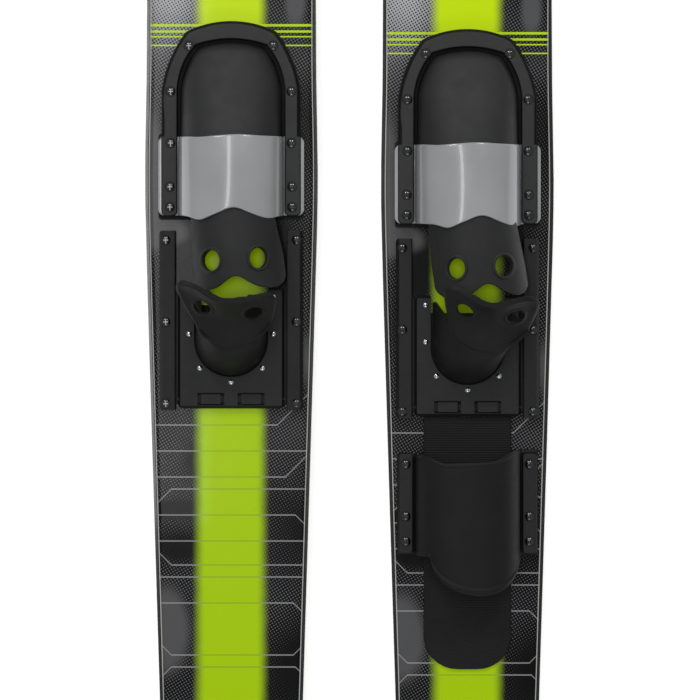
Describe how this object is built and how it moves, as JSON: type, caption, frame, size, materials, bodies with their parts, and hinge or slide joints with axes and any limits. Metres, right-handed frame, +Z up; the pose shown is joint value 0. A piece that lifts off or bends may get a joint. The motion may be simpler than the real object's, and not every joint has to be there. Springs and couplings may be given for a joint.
{
  "type": "water ski pair",
  "caption": "Combination water skis with screwed toe bindings and sliding, latching heel bindings; the right ski has a rear toe strap and foot pad.",
  "frame": {"origin": "middle of the pair, on the level of the fins' lower edges", "axes": "+Z up from base to deck, +Y from the tails to the tips, +X to the right ski"},
  "size_m": [0.4088, 1.71, 0.178],
  "materials": {
    "ski_body": "smooth black moulded skin",
    "printed_deck": "satin printed sheet with a lime stripe and black and grey dots",
    "insert_brass": "turned",
    "fin_nylon": "moulded glass-filled nylon",
    "stainless_steel": "plain stainless",
    "moulded_black": "fine texture",
    "black_rubber": "smooth moulded rubber",
    "grey_band": "glossy",
    "black_screws": "glossy black",
    "bright_rivets": "bright",
    "ribbed_pad": "fine cross ribs"
  },
  "bodies": {
    "left_ski": {"left_binding_inserts": "insert_brass", "left_fin": "fin_nylon", "left_fin_inserts": "insert_brass", "left_fin_screws": "stainless_steel", "left_heel_rail_screws": "black_screws", "left_inner_heel_rail": "moulded_black", "left_instep_band": "grey_band", "left_outer_heel_rail": "moulded_black", "left_ski_core": "ski_body", "left_toe_frame": "moulded_black", "left_toe_plate": "moulded_black", "left_toe_rubber": "black_rubber", "left_toe_screws": "black_screws", "left_top_sheet": "printed_deck"},
    "left_heel": {"left_heel_carriage": "moulded_black", "left_heel_backing_plate": "stainless_steel", "left_heel_rubber": "black_rubber", "left_heel_rivets": "bright_rivets", "left_left_latch_spring": "stainless_steel", "left_right_latch_spring": "stainless_steel"},
    "left_left_latch": {"left_left_latch": "moulded_black"},
    "left_right_latch": {"left_right_latch": "moulded_black"},
    "right_ski": {"right_binding_inserts": "insert_brass", "right_fin": "fin_nylon", "right_fin_inserts": "insert_brass", "right_fin_screws": "stainless_steel", "right_heel_rail_screws": "black_screws", "right_inner_heel_rail": "moulded_black", "right_instep_band": "grey_band", "right_outer_heel_rail": "moulded_black", "right_rear_foot_pad": "ribbed_pad", "right_rear_strap_left_bar": "moulded_black", "right_rear_strap_right_bar": "moulded_black", "right_rear_strap_screws": "black_screws", "right_rear_toe_strap": "black_rubber", "right_ski_core": "ski_body", "right_toe_frame": "moulded_black", "right_toe_plate": "moulded_black", "right_toe_rubber": "black_rubber", "right_toe_screws": "black_screws", "right_top_sheet": "printed_deck"},
    "right_heel": {"right_heel_carriage": "moulded_black", "right_heel_backing_plate": "stainless_steel", "right_heel_rubber": "black_rubber", "right_heel_rivets": "bright_rivets", "right_left_latch_spring": "stainless_steel", "right_right_latch_spring": "stainless_steel"},
    "right_left_latch": {"right_left_latch": "moulded_black"},
    "right_right_latch": {"right_right_latch": "moulded_black"}
  },
  "joints": [
    {"name": "ski_stance", "type": "slide", "parent": "left_ski", "child": "right_ski", "axis": [1, 0, 0], "range_m": [-0.055, 0.25]},
    {"name": "left_heel_slide", "type": "slide", "parent": "left_ski", "child": "left_heel", "axis": [0, 1, 0], "range_m": [0, 0.036]},
    {"name": "left_left_latch_press", "type": "slide", "parent": "left_heel", "child": "left_left_latch", "axis": [1, 0, 0], "range_m": [0, 0.003], "stiffness_N_per_m": 500, "springref_m": -0.003, "deforming": ["left_left_latch_spring"]},
    {"name": "left_right_latch_press", "type": "slide", "parent": "left_heel", "child": "left_right_latch", "axis": [-1, 0, 0], "range_m": [0, 0.003], "stiffness_N_per_m": 500, "springref_m": -0.003, "deforming": ["left_right_latch_spring"]},
    {"name": "right_heel_slide", "type": "slide", "parent": "right_ski", "child": "right_heel", "axis": [0, 1, 0], "range_m": [0, 0.036]},
    {"name": "right_left_latch_press", "type": "slide", "parent": "right_heel", "child": "right_left_latch", "axis": [1, 0, 0], "range_m": [0, 0.003], "stiffness_N_per_m": 500, "springref_m": -0.003, "deforming": ["right_left_latch_spring"]},
    {"name": "right_right_latch_press", "type": "slide", "parent": "right_heel", "child": "right_right_latch", "axis": [-1, 0, 0], "range_m": [0, 0.003], "stiffness_N_per_m": 500, "springref_m": -0.003, "deforming": ["right_right_latch_spring"]}
  ]
}
